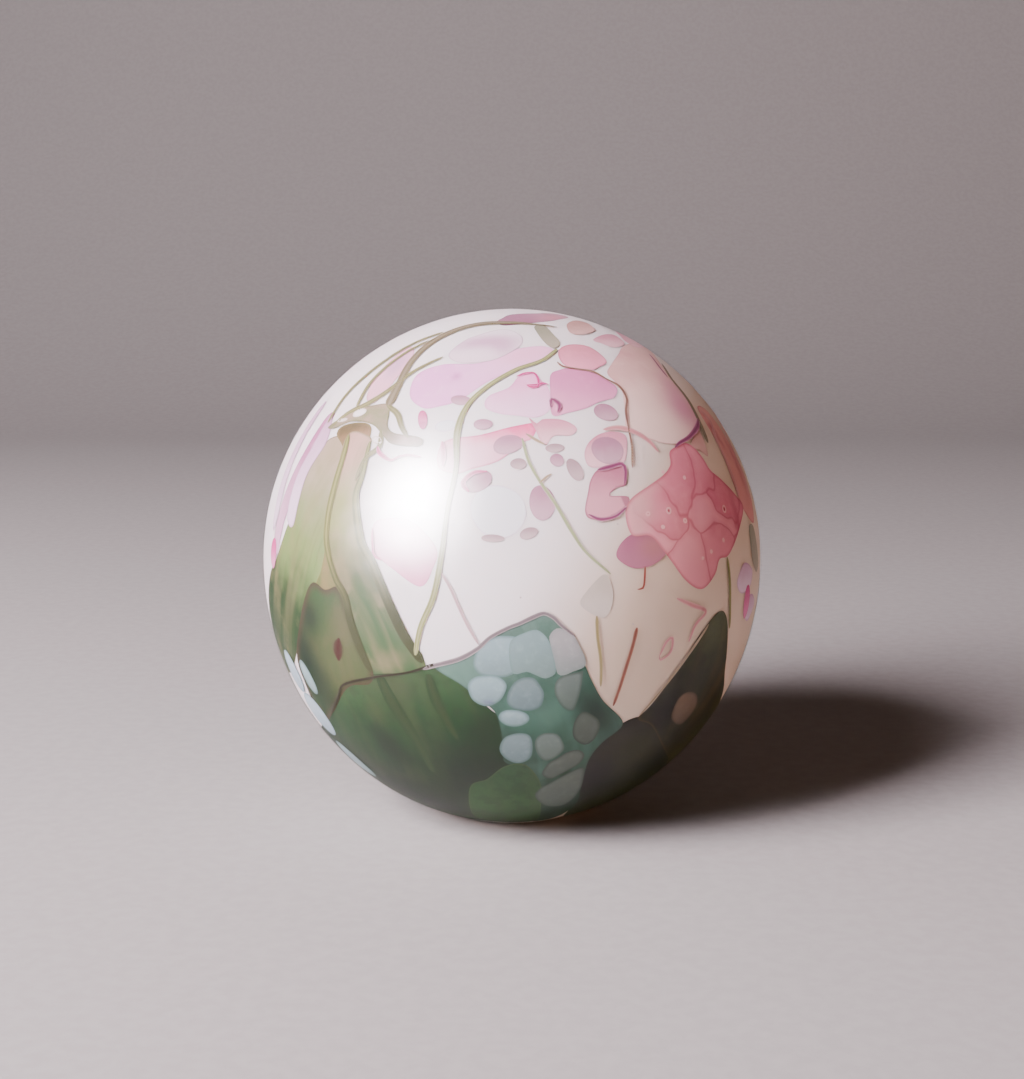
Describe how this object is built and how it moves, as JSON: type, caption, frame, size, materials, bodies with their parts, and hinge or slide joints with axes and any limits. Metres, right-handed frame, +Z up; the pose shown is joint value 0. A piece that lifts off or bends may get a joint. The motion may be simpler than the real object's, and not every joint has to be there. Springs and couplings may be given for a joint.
{
  "type": "glass ball ornament",
  "caption": "Hollow blown glass ball ornament: opal white core, garden of inlaid coloured glass leaves, petals, dots and threads, clear satin casing, flat ground base.",
  "frame": {"origin": "centre of the ground base rim, on the surface the ball stands on", "axes": "+Z up through the ball's axis and the crown, -Y towards the front of the garden, +X to the right of the front"},
  "size_m": [0.1, 0.1, 0.1014],
  "materials": {
    "opal_white": "satin opal glass, hollow blown",
    "clear_satin": "clear glass, acid-etched satin outside",
    "leaf_green": "coloured glass, picked up hot and cased",
    "leaf_tan": "coloured glass, picked up hot and cased",
    "leaf_dark": "coloured glass, picked up hot and cased",
    "leaf_brown": "coloured glass, picked up hot and cased",
    "teal": "coloured glass, picked up hot and cased",
    "opal_blue": "coloured glass, picked up hot and cased",
    "rose_red": "coloured glass, picked up hot and cased",
    "petal_pink": "coloured glass, picked up hot and cased",
    "petal_mauve": "coloured glass, picked up hot and cased",
    "petal_pale": "coloured glass, picked up hot and cased",
    "vine_olive": "coloured glass, picked up hot and cased",
    "thread_brown": "coloured glass, picked up hot and cased",
    "thread_red": "coloured glass, picked up hot and cased"
  },
  "bodies": {
    "root": {"opal_core": "opal_white", "clear_casing": "clear_satin", "leaf_far_left": "leaf_green", "leaf_tall_left": "leaf_tan", "leaf_tall_right": "leaf_tan", "leaf_middle": "leaf_green", "leaf_low": "leaf_dark", "leaf_under": "leaf_green", "teal_cluster": "teal", "leaf_right": "leaf_brown", "leaf_right_low": "leaf_dark", "leaf_behind_left": "leaf_green", "leaf_behind_tall": "leaf_tan", "leaf_behind_low": "leaf_dark", "leaf_behind_right": "leaf_green", "teal_cluster_behind": "teal", "petal_low_left": "petal_pink", "petal_lilac": "petal_pink", "petal_milky": "petal_pale", "petal_centre": "petal_pink", "petal_mauve_top": "petal_mauve", "petal_band": "petal_pink", "petal_large": "petal_pale", "petal_small_top": "petal_mauve", "petal_side": "petal_mauve", "petal_low_right": "petal_mauve", "petal_left_limb": "petal_pink", "petal_top_left": "petal_pink", "petal_right_limb": "petal_pink", "petal_behind_large": "petal_pale", "petal_behind_mauve": "petal_mauve", "rose": "rose_red", "rose_behind": "rose_red", "vine_knot": "vine_olive", "petal_crown": "petal_mauve", "dot_1": "opal_blue", "dot_2": "opal_blue", "dot_3": "opal_blue", "dot_4": "opal_blue", "dot_5": "opal_blue", "dot_7": "opal_blue", "dot_8": "opal_blue", "dot_9": "opal_blue", "dot_10": "opal_blue", "dot_11": "opal_blue", "dot_12": "opal_blue", "dot_right": "opal_blue", "dot_limb_1": "opal_blue", "dot_limb_3": "opal_blue", "vine_main": "vine_olive", "vine_branch": "vine_olive", "vine_top_left": "vine_olive", "thread_brown": "thread_brown", "vine_right": "vine_olive", "vine_right_low": "vine_olive", "tendril": "vine_olive", "stamen_olive": "vine_olive", "stamen_red": "thread_red", "leaf_line": "thread_brown", "vine_behind": "vine_olive"}
  },
  "joints": []
}
